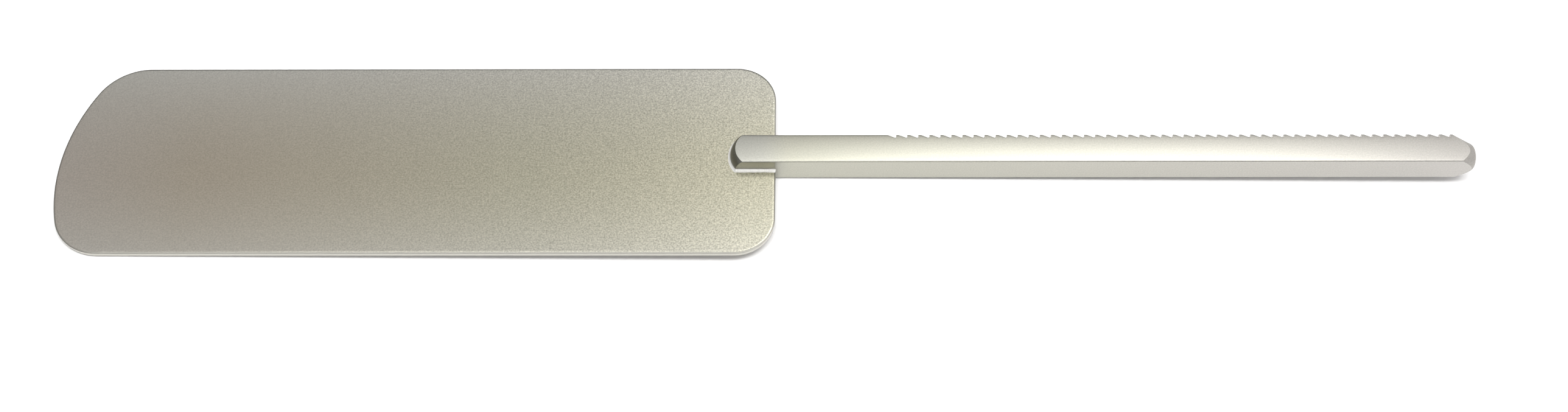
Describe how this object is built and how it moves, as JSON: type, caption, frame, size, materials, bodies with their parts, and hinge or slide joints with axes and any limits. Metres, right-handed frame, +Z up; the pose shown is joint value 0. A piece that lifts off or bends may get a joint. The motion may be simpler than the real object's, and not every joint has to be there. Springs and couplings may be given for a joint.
{
  "type": "malleable retractor",
  "caption": "Flat malleable steel blade with rounded corners and a swept tip, welded into the slit end of a slim square bar with fine ratchet teeth along one side.",
  "frame": {"origin": "on the bar's underside, below the line where the blade's straight end meets the bottom of the bar's slit, midway across the bar", "axes": "+X along the bar to its free end, +Y across the bar to its toothed side, +Z up from the underside through the flat blade"},
  "size_m": [0.3266, 0.05, 0.0074],
  "materials": {
    "blade_steel": "bead-blasted satin stainless steel with fine grain",
    "bar_steel": "satin stainless steel, brushed lengthwise on the sides",
    "weld_metal": "bright rippled weld metal, cleaned"
  },
  "bodies": {
    "root": {"blade": "blade_steel", "ratchet_bar": "bar_steel", "weld_bead_top": "weld_metal", "weld_bead_under": "weld_metal"}
  },
  "joints": []
}
